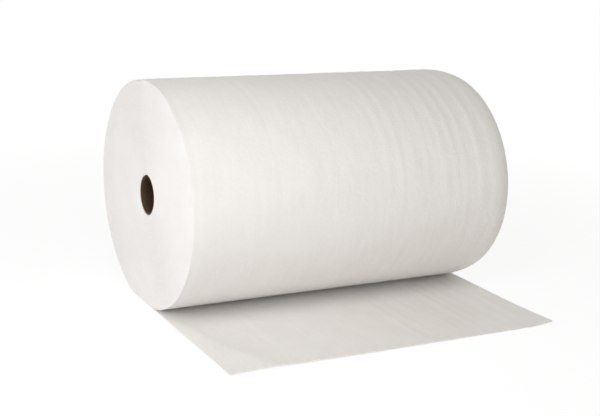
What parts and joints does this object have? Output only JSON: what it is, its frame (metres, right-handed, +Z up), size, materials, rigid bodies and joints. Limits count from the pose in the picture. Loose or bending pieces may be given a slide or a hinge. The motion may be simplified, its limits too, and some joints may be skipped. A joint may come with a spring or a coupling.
{
  "type": "foam wrap roll",
  "caption": "Wide roll of soft white packing foam sheet wound on a cardboard core, lying on its side with its free end laid flat in front.",
  "frame": {"origin": "on the floor, under the middle of the whole part, from the roll's back to the web's free edge", "axes": "+X along the roll's core, -Y towards the web's free edge, +Z up"},
  "size_m": [0.75, 0.7112, 0.4787],
  "materials": {
    "white_foam": "soft matte closed-cell polyethylene foam, slightly translucent, with fine ripples round the roll",
    "core_board": "dark brown recycled cardboard, spiral wound"
  },
  "bodies": {
    "root": {"foam_roll": "white_foam", "core_tube": "core_board"}
  },
  "joints": []
}
